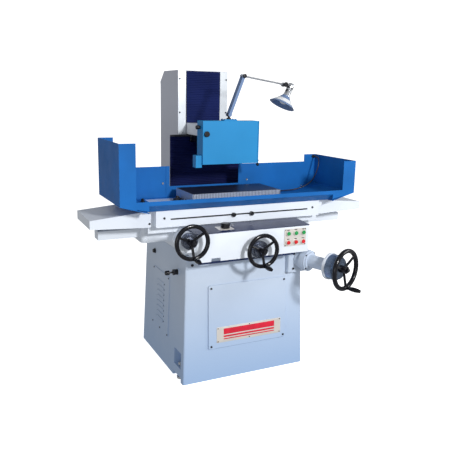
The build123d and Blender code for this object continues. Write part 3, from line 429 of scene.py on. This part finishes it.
def tube(path, radius, segments=12):
    # a ring carried along a path, square to its direction
    path = np.array(path, float)
    ahead = np.gradient(path, axis=0)
    ahead /= np.linalg.norm(ahead, axis=1)[:, None]
    guide = np.array((0.31, 0.77, 0.55))
    first = np.cross(ahead, guide)
    first /= np.linalg.norm(first, axis=1)[:, None]
    second = np.cross(ahead, first)
    angle = np.linspace(0, 2 * np.pi, segments, endpoint=False)
    radius = np.broadcast_to(radius, len(path))[:, None, None]
    ring = np.cos(angle)[None, :, None] * first[:, None] + np.sin(angle)[None, :, None] * second[:, None]
    points = (path[:, None] + radius * ring).reshape(-1, 3)
    return closeEnds(points, gridFaces(len(path), segments, True), len(path), segments)


def makePiece(name, shapes, finish, body=None, smooth=40):
    # joins the shapes in one mesh; edges sharper than smooth, in degrees, stay crisp
    points, faces, start = [], [], 0
    for shapePoints, shapeFaces in shapes:
        points.append(shapePoints)
        for group in shapeFaces:
            faces.extend((group + start).tolist())
        start += len(shapePoints)
    mesh = bpy.data.meshes.new(name)
    mesh.from_pydata(np.vstack(points).tolist(), [], faces)
    mesh.materials.append(finishes[finish])
    mesh.validate()
    piece = bpy.data.objects.new(name, mesh)
    bpy.context.collection.objects.link(piece)
    mesh.shade_smooth()
    mesh.set_sharp_from_angle(angle=math.radians(smooth))
    if body:
        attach(piece, body)
    return piece


def screwShape(origin, axis, radius=0.005, height=0.003):
    # turned head with a rounded rim and a socket in its middle
    return turned([(radius, 0), (radius, height * 0.6), (radius * 0.86, height), (radius * 0.52, height),
                   (radius * 0.5, height * 0.35), (radius * 0.05, height * 0.3)], origin, axis, 20)


# chuck cable on its route from the gland to the chuck
cableSettings = {"radius": 0.004, "length": 0.584, "route": (
    (0.706, -0.058, 1.211), (0.706, -0.086, 1.211), (0.702, -0.112, 1.203), (0.694, -0.129, 1.182),
    (0.686, -0.134, 1.153), (0.678, -0.132, 1.120), (0.667, -0.126, 1.087), (0.650, -0.118, 1.057),
    (0.625, -0.108, 1.034), (0.592, -0.097, 1.017), (0.554, -0.090, 1.006), (0.508, -0.086, 1.001),
    (0.460, -0.086, 1.0005), (0.412, -0.092, 1.001), (0.368, -0.108, 1.010), (0.334, -0.116, 1.016),
    (0.306, -0.116, 1.016))}


def makeCable(s):
    curve = bpy.data.curves.new("chuckCable", "CURVE")
    curve.dimensions = "3D"
    spline = curve.splines.new("NURBS")
    spline.points.add(len(s["route"]) - 1)
    for spot, place in zip(spline.points, s["route"]):
        spot.co = (*place, 1)
    spline.order_u = 3
    spline.use_endpoint_u = True
    spline.resolution_u = 12
    curve.bevel_depth, curve.bevel_resolution, curve.use_fill_caps = s["radius"], 4, True
    curve.materials.append(finishes["cableSheath"])
    cable = bpy.data.objects.new("chuckCable", curve)
    bpy.context.collection.objects.link(cable)
    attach(cable, "table")
    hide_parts("chuck_cable")


makeCable(cableSettings)
print("cable made")


# pleated covers in front of the column
pleatSettings = {"depth": 0.0042, "pitch": 0.0105, "perPleat": 8}


def pleatedSheet(width, low, high, middle, s, cut=None):
    # y steps in and out with the height as a softened triangle wave, shallower at the side hems
    count = max(3, round((high - low) / s["pitch"]))
    z = np.linspace(low, high, count * s["perPleat"] + 1)
    edges = [0.0, 0.004, 0.010, 0.018]
    inner = np.linspace(0.03, width - 0.03, 26)
    lines = [cut["lines"]] if cut else []
    x = np.unique(np.concatenate([edges, inner, [width - e for e in edges]] + lines)) - width / 2
    phase = (z - low) / (high - low) * count
    wave = 1 - 2 * np.abs(2 * (phase % 1) - 1)
    wave = np.sin(wave * np.pi / 2) * 0.5
    hem = np.clip((width / 2 - np.abs(x)) / 0.012, 0, 1)
    hem = 0.35 + 0.65 * hem * hem * (3 - 2 * hem)
    sag = 0.0012 * np.sin(x[None, :] * 31 + phase[:, None] * 1.7) * hem[None, :]
    y = middle + s["depth"] * wave[:, None] * hem[None, :] + sag
    points = np.stack([np.broadcast_to(x, y.shape), y, np.broadcast_to(z[:, None], y.shape)], -1).reshape(-1, 3)
    faces = gridFaces(len(z), len(x), False)
    if cut:
        # leave out the faces that lie in the stepped opening round the neck
        centres = points[faces].mean(1)
        opened = np.zeros(len(faces), bool)
        for half, floor in cut["steps"]:
            opened |= (np.abs(centres[:, 0]) < half) & (centres[:, 2] > floor)
        faces = faces[~opened]
        used = np.unique(faces)
        renumber = np.zeros(len(points), int)
        renumber[used] = np.arange(len(used))
        points, faces = points[used], renumber[faces]
    return points, [faces]


coverSettings = {
    "columnBellows": {"node": "upper_bellows", "finish": "bellowsCloth", "width": 0.226, "low": 1.4212, "high": 1.7355,
                      "middle": 0.1675, "bodies": ("wheelhead", "base"), "start": (0, 0.17, 1.4212),
                      "end": (0, 0.17, 1.7355), "cut": None},
    "rearCurtain": {"node": "lower_curtain", "finish": "curtainCloth", "width": 0.5, "low": 0.764, "high": 1.352,
                    "middle": 0.095, "bodies": ("base", "wheelhead"), "start": (0, 0.095, 0.764),
                    "end": (0, 0.095, 1.218), "cut": {"lines": [0.134, 0.184, 0.316, 0.366],
                                                      "steps": ((0.116, 1.306), (0.066, 1.223))}},
}


def makePleated(name, c):
    sheet = pleatedSheet(c["width"], c["low"], c["high"], c["middle"], pleatSettings, c["cut"])
    piece = makePiece(name, [sheet], c["finish"], smooth=70)
    skin = piece.modifiers.new("skin", "SOLIDIFY")
    skin.thickness, skin.offset = 0.0012, 0
    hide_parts(c["node"])
    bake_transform(piece)


for coverName, cover in coverSettings.items():
    makePleated(coverName, cover)
makePiece("curtainTopBar", [plate((side * 0.183, 0.0905, 1.347), (0, -1, 0), (0.134, 0.012), 0.0022, 0.002)
                            for side in (-1, 1)], "screwDark", "wheelhead")
print("bellows made")

# plain nameplate with coloured bars, on the sloping access panel
baseShape = {"height": 0.744, "frontLean": 0.027, "sideLean": 0.025, "frontFoot": -0.490, "sideFoot": 0.390,
             "panelThick": 0.008, "coverThick": 0.004}
frontLength = math.hypot(baseShape["height"], baseShape["frontLean"])
slopeNormal = np.array((0, -baseShape["height"], baseShape["frontLean"])) / frontLength
slopeUp = np.array((0, baseShape["frontLean"], baseShape["height"])) / frontLength


def onPanel(x, s, lift=0.0):
    # a point x across and s up the sloping front, lifted off the panel's face
    return np.array((x, baseShape["frontFoot"], 0)) + slopeUp * s + slopeNormal * (baseShape["panelThick"] + lift)


plateSettings = {"middle": (0.022, 0.266), "size": (0.416, 0.092), "thick": 0.0016, "barWide": 0.33,
                 "bars": ((0.019, 0.034), (-0.010, 0.010), (-0.025, 0.006))}


def makeNameplate(s):
    # each bar is given by its height on the plate and its own height
    across, up = s["middle"]
    makePiece("nameplate", [plate(onPanel(across, up), slopeNormal, s["size"], s["thick"], 0.004, 0.0005)],
              "plateMetal", "base")
    makePiece("nameplateBars", [plate(onPanel(across, up + rise - 0.002, s["thick"] - 0.0002), slopeNormal,
                                      (s["barWide"], tall), 0.0008, 0.0015, 0.0003) for rise, tall in s["bars"]],
              "barRed", "base")


makeNameplate(plateSettings)
print("nameplate made")

# screws, bolts and small fittings
frontFace = (0, -1, 0)
makePiece("tableScrews", [screwShape((x, -0.412, 0.948), frontFace, 0.0065) for x in (-0.468, 0.468)],
          "screwDark", "table")
makePiece("coverScrews", [screwShape((side * 0.536, -0.367, 0.914), frontFace, 0.006) for side in (-1, 1)],
          "screwDark", "table")
makePiece("guardBolts", [screwShape((x, -0.040, 1.078), frontFace, 0.007, 0.004) for x in (-0.345, 0.214)]
          + [screwShape((x, -0.040, 1.02), frontFace, 0.005) for x in (-0.62, 0.62)],
          "turnedSteel", "table")
makePiece("bracketBolts", [screwShape(place, frontFace, 0.007, 0.006)
                           for place in ((0.295, -0.500, 0.700), (0.295, -0.500, 0.610),
                                         (0.352, -0.500, 0.610), (0.352, -0.500, 0.700))],
          "screwDark", "base")
makePiece("lugScrews", [screwShape((-0.331, -0.471, 0.690), frontFace, 0.008, 0.005)], "screwDark", "base")
makePiece("panelPlateScrews", [screwShape((x, -0.571, z), frontFace, 0.003, 0.0015)
                               for x in (0.190, 0.320) for z in (0.775, 0.863)], "screwDark", "saddle")
makePiece("buttonLegends", [plate((x, -0.571, z + 0.0185), frontFace, (0.017, 0.0042), 0.0006, 0.001, 0.0002)
                            for x in (0.208, 0.257, 0.306) for z in (0.792, 0.844)], "knobBlack", "saddle")
# dark strip under the apron's lower edge: painted shadow of the apron on the base front
makePiece("apronShadowStrip", [plate((-0.0395, -0.5605, 0.7222), frontFace, (0.591, 0.0115), 0.004, 0.001, 0.0006)],
          "deckBlack", "saddle")
makePiece("speedPlate", [plate((-0.155, -0.500, 0.8886), (0, -0.074, 0.997), (0.09, 0.07), 0.0012, 0.006,
                               0.0004, (0, 1, 0))], "plateMetal", "saddle")
makePiece("oilFitting", [turned([(0.009, 0), (0.009, 0.004), (0.006, 0.006), (0.006, 0.012), (0.0035, 0.014)],
                                (-0.095, -0.470, 0.8895), (0, 0, 1), 24)], "turnedSteel", "saddle")
makePiece("drainFitting", [turned([(0.013, 0), (0.013, 0.005), (0.009, 0.008), (0.009, 0.018), (0.005, 0.02)],
                                  (-0.502, -0.142, 0.993), (0, 0, 1), 24)], "knobBlack", "table")
makePiece("fillerCap", [turned([(0.016, 0), (0.016, 0.003), (0.012, 0.004), (0.012, 0.012), (0.010, 0.0145)],
                               (-0.3685, 0.040, 0.649), (-1, 0, 0), 28)], "knobBlack", "base")
makePiece("tableTopStrip", [plate((-0.3745, y, 0.9901), (0, 0, 1), (0.186, deep), 0.0006, 0.002, 0.0002, (0, 1, 0))
                            for y, deep in ((-0.3005, 0.145), (-0.1375, 0.145))], "brightTop", "table")
makePiece("chuckClamps", [turned([(0.024, 0), (0.026, 0.004), (0.024, 0.012), (0.012, 0.018), (0.010, 0.026)],
                                 (x, y, 0.9935), (0, 0, 1), 28)
                          for x, y in ((-0.300, -0.27), (-0.300, -0.165), (0.300, -0.27))],
          "screwDark", "table")
wheelCentres = {"cross": (0.02, -0.626, 0.774), "traverse": (-0.394, -0.626, 0.858)}
liftFoot = np.array((0.362, -0.536, 0.664))
liftCentre = np.array((0.45298, -0.78596, 0.664))
liftAxis = np.array((math.sin(math.radians(20)), -math.cos(math.radians(20)), 0))
nutProfile = [(0.010, 0), (0.010, 0.005), (0.0075, 0.007), (0.003, 0.0075)]
for nutName, wheel in (("hubNuts", "cross"), ("traverseHubNut", "traverse")):
    nutFoot = (wheelCentres[wheel][0], -0.643, wheelCentres[wheel][2])
    makePiece(nutName, [turned(nutProfile, nutFoot, frontFace, 6)], "knobBlack", f"{wheel}_wheel", 20)
makePiece("liftHubNut", [turned([(0.011, 0), (0.011, 0.006), (0.008, 0.008), (0.003, 0.0085)],
                                liftCentre + liftAxis * 0.017, liftAxis, 6)],
          "knobBlack", "lift_wheel", 20)
rimCentre = liftFoot + liftAxis * 0.158
makePiece("liftRimRing", [turned([(0.062, 0), (0.0765, 0.0005), (0.0765, 0.0135), (0.074, 0.0155), (0.062, 0.0155)],
                                 rimCentre, liftAxis, 72)], "tableEnamel", "base")
boltSide, boltUp = np.cross(liftAxis, (0, 0, 1)), np.array((0, 0, 1))
flangeBolts = [liftFoot + liftAxis * 0.023 + 0.0555 * (np.cos(a) * boltSide + np.sin(a) * boltUp)
               for a in np.radians((45, 135, 225, 315))]
makePiece("liftFlangeBolts", [screwShape(place, liftAxis, 0.0045, 0.004) for place in flangeBolts], "screwDark",
          "base")


def rimShape(centre, axis, middle, wide, deep, around=28, segments=96):
    # superellipse section carried round the wheel axis: both half widths vary as powers of cosine and sine
    t = np.linspace(0, 2 * np.pi, around + 1)
    c, d = np.cos(t), np.sin(t)
    section = np.stack([middle + wide * np.sign(c) * np.abs(c) ** 0.85, deep * np.sign(d) * np.abs(d) ** 0.85], -1)
    x, y, z = axesFor(axis)
    turn = np.linspace(0, 2 * np.pi, segments, endpoint=False)
    ring = np.cos(turn)[:, None] * x + np.sin(turn)[:, None] * y
    points = np.array(centre) + section[:-1, 0, None, None] * ring + (section[:-1, 1, None] * z)[:, None, :]
    return points.reshape(-1, 3), [gridFaces(around + 1, segments, True) % (around * segments)]


for wheel in ("traverse", "cross"):
    makePiece(f"{wheel}Rim", [rimShape(wheelCentres[wheel], frontFace, 0.0855, 0.0112, 0.0108)], "handwheelBlack",
              f"{wheel}_wheel")
makePiece("liftRim", [rimShape(liftFoot + liftAxis * 0.266, liftAxis, 0.107, 0.0128, 0.0124)], "handwheelBlack",
          "lift_wheel")
makePiece("lubricatorBarrel", [turned([(0.0168, 0), (0.0168, 0.004), (0.0152, 0.006), (0.0152, 0.021), (0.0166, 0.023),
                                       (0.0166, 0.029), (0.0150, 0.0305)], (-0.371, -0.360, 0.627), (-1, 0, 0), 40)],
          "knobBlack", "base")

# pressed louvre hoods on the left side cover
sideNormal = np.array((-baseShape["height"], 0, baseShape["sideLean"])) / math.hypot(baseShape["height"],
                                                                                     baseShape["sideLean"])
louvreSettings = {"width": 0.105, "tall": 0.016, "rise": 0.0042, "count": 8, "first": 0.2570, "pitch": 0.033,
                  "middle": -0.093}


def louvreShape(z, s):
    # a hood whose lift rises as a quarter wave from its top edge, drawn in to nothing at both ends
    u = np.linspace(-1, 1, 25)
    v = np.linspace(0, 1, 9)
    lift = s["rise"] * np.sin(v[:, None] * np.pi / 2) * np.sqrt(np.clip(1 - u[None, :] ** 6, 0, 1))
    height = z + s["tall"] / 2 - s["tall"] * v[:, None] + 0 * u[None, :]
    wall = -(baseShape["sideFoot"] - baseShape["sideLean"] * height / baseShape["height"])
    x = wall + sideNormal[0] * (baseShape["coverThick"] + lift)
    y = s["middle"] + s["width"] / 2 * u[None, :] + 0 * lift
    return np.stack([x, y, height + sideNormal[2] * lift], -1).reshape(-1, 3), \
        [gridFaces(len(v), len(u), False)[:, ::-1]]


louvreRows = [louvreSettings["first"] + louvreSettings["pitch"] * k for k in range(louvreSettings["count"])]
louvres = makePiece("louvreHoods", [louvreShape(z, louvreSettings) for z in louvreRows], "machineEnamel",
                    "base")
hoodSkin = louvres.modifiers.new("skin", "SOLIDIFY")
hoodSkin.thickness, hoodSkin.offset = 0.0014, -1
print("fittings made")

# work lamp: bell, vented socket, lamp bulb and joint knobs
lampJoint = np.array((0.368, -0.202, 1.662))
lampElbow = (0.088, -0.2204, 1.703)
tilt = math.radians(27)
shadeAxis = np.array((-math.sin(tilt), 0, -math.cos(tilt)))
shadeSide = np.array((math.cos(tilt), 0, -math.sin(tilt)))
socketTop = lampJoint + shadeSide * 0.042 - shadeAxis * 0.028
finishes["lampMetal"] = steel("lampMetal", {"color": (0.78, 0.81, 0.85), "rough": 0.22, "grain": (20, 20, 20)})
finishes["reflector"] = enamel("reflector", {"color": (0.80, 0.82, 0.84), "rough": 0.3})


def bellProfile():
    # outside from the neck down a slight flare to the rolled rim, then back up inside
    t = np.linspace(0, 1, 18)
    outer = np.stack([0.0205 + (0.0785 - 0.0205) * (0.82 * t + 0.18 * t ** 2.4), 0.078 + 0.062 * t], -1)
    roll = np.array([(0.0795, 0.1405), (0.0799, 0.1412), (0.0790, 0.1418), (0.0775, 0.1412)])
    inner = np.stack([outer[::-1, 0] - 0.0016, outer[::-1, 1] + 0.0012], -1)
    return np.vstack([outer, roll, inner])


bell = makePiece("lampBell", [turned(bellProfile(), socketTop, shadeAxis, 72)], "lampBlue", "lamp_head")
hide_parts("lamp_shade")
makePiece("lampReflector", [turned([(0.019, 0.0835), (0.024, 0.0866), (0.040, 0.1023), (0.056, 0.1185),
                                    (0.0715, 0.1345), (0.0711, 0.1352), (0.055, 0.1194), (0.039, 0.1033),
                                    (0.023, 0.0877), (0.018, 0.0846)], socketTop, shadeAxis, 72)],
          "reflector", "lamp_head")
makePiece("lampSocket", [turned([(0.006, 0.0002), (0.0145, 0.0005), (0.0175, 0.003), (0.0185, 0.008), (0.0198, 0.012),
                                 (0.0198, 0.040), (0.0190, 0.0415), (0.0190, 0.0435), (0.0198, 0.045),
                                 (0.0198, 0.072), (0.0222, 0.077), (0.0222, 0.083), (0.019, 0.0845)],
                                socketTop, shadeAxis, 48)], "lampMetal", "lamp_head")
# dark plates round the socket: painted shade where the vent openings are
ventAngles = np.radians(np.arange(0, 360, 30))
ventAround = [math.cos(a) * shadeSide + math.sin(a) * np.array((0.0, 1.0, 0.0)) for a in ventAngles]
makePiece("lampVentShade", [plate(socketTop + shadeAxis * 0.026 + d * 0.0194, d, (0.0042, 0.019), 0.0007, 0.0021, 0.0002,
                              shadeAxis) for d in ventAround], "knobBlack", "lamp_head")
makePiece("lampBulb", [turned([(0.013, 0.083), (0.013, 0.088), (0.016, 0.094), (0.0225, 0.103), (0.0255, 0.113),
                               (0.0240, 0.122), (0.018, 0.129), (0.009, 0.1325), (0.002, 0.1335)], socketTop,
                              shadeAxis, 40)], "reflector", "lamp_head")
makePiece("lampKnuckle", [turned([(0.0098, -0.0116), (0.0098, 0.0116)], lampJoint, (0, 1, 0), 32),
                          tube([lampJoint + shadeSide * d for d in (0.002, 0.012, 0.024)],
                               0.0058)], "knobBlack", "lamp_head")


def knobShape(origin, axis, radius, thick, lobes=12):
    # fluted rim: the radius swells and dips round the turn, drawn in at both faces
    x, y, z = axesFor(axis)
    angle = np.linspace(0, 2 * np.pi, lobes * 6, endpoint=False)
    levels = ((0.55, 0), (0.92, 0), (1, 0.15), (1, 0.8), (0.9, 1), (0.4, 1.05))
    rows = []
    for share, lift in levels:
        r = radius * share * (1 + 0.045 * np.cos(lobes * angle) * (share > 0.85))
        rows.append(np.array(origin) + (r * np.cos(angle))[:, None] * x + (r * np.sin(angle))[:, None] * y
                    + lift * thick * z)
    return closeEnds(np.vstack(rows), gridFaces(len(rows), len(angle), True), len(rows), len(angle))


makePiece("lampElbowKnob", [knobShape(lampElbow, frontFace, 0.0115, 0.010)], "knobBlack", "lamp_arm_1")
makePiece("lampTiltKnob", [knobShape((lampJoint[0], -0.1835, lampJoint[2]), (0, 1, 0), 0.0125, 0.006),
                           knobShape((lampJoint[0], -0.2136, lampJoint[2]), frontFace, 0.014, 0.011)],
          "knobBlack", "lamp_head")
print("lamp made")

# wheel cover: side stub and the lamp foot's screws
makePiece("coverStub", [turned([(0.009, 0), (0.009, 0.008), (0.012, 0.010), (0.012, 0.022), (0.009, 0.025)],
                               (-0.1775, -0.200, 1.413), (-1, 0, 0), 28)], "knobBlack", "wheelhead")
makePiece("footScrews", [screwShape((0.002 + 0.034 * sx, -0.202 + 0.019 * sy, 1.458), (0, 0, 1), 0.004, 0.003)
                         for sx in (-1, 1) for sy in (-1, 1)], "screwDark", "wheelhead")
print("wheel cover fittings made")

# pale round floor that curves up into a wall on all sides, and soft light from the front
floorSettings = {"flat": 7.0, "bend": 2.5, "rise": 9.0, "glow": 0.85, "segments": 96}


def makeFloor(s):
    # turned profile: flat run, then a quarter circle, then a straight rise
    turn = np.linspace(0, np.pi / 2, 14)
    radius = np.concatenate([[0.001, 1.5, 4.0], s["flat"] + s["bend"] * np.sin(turn), [s["flat"] + s["bend"]]])
    height = np.concatenate([[0, 0, 0], s["bend"] * (1 - np.cos(turn)), [s["rise"]]])
    around = np.linspace(0, 2 * np.pi, s["segments"], endpoint=False)
    points = np.stack([radius[:, None] * np.cos(around), radius[:, None] * np.sin(around),
                       np.broadcast_to(height[:, None], (len(radius), s["segments"]))], -1).reshape(-1, 3)
    mesh = bpy.data.meshes.new("studioFloor")
    mesh.from_pydata(points.tolist(), [], gridFaces(len(radius), s["segments"], True)[:, ::-1].tolist())
    mesh.shade_smooth()
    made, tree, shader = startMaterial("studioFloor")
    setLook(tree, shader, (0.9, 0.9, 0.9), 0.85, Emission_Color=(1, 1, 1, 1), Emission_Strength=s["glow"])
    mesh.materials.append(made)
    floor = bpy.data.objects.new("studioFloor", mesh)
    bpy.context.collection.objects.link(floor)
    floor.visible_glossy = floor.visible_diffuse = False


makeFloor(floorSettings)
lightSettings = (
    ("keyLight", (0.7, -4.6, 2.7), (0.0, -0.3, 0.9), 0.6, 160),
    ("sideLight", (4.2, -2.2, 1.6), (0.2, -0.2, 0.9), 1.4, 44),
    ("fillLight", (-2.8, -3.8, 1.0), (0.3, -0.2, 0.9), 1.6, 24),
)
for name, place, target, size, power in lightSettings:
    lamp = bpy.data.lights.new(name, "AREA")
    lamp.shape, lamp.size, lamp.energy = "DISK", size, power
    lampObject = bpy.data.objects.new(name, lamp)
    lampObject.location = place
    lampObject.rotation_euler = (Vector(target) - Vector(place)).to_track_quat("-Z", "Y").to_euler()
    bpy.context.collection.objects.link(lampObject)
world = bpy.data.worlds.new("studioWorld")
world.use_nodes = True
world.node_tree.nodes["Background"].inputs["Color"].default_value = (0.95, 0.97, 1.0, 1)
world.node_tree.nodes["Background"].inputs["Strength"].default_value = 0.40
bpy.context.scene.world = world
bpy.context.scene.view_settings.view_transform = "Standard"
print("floor and light made")
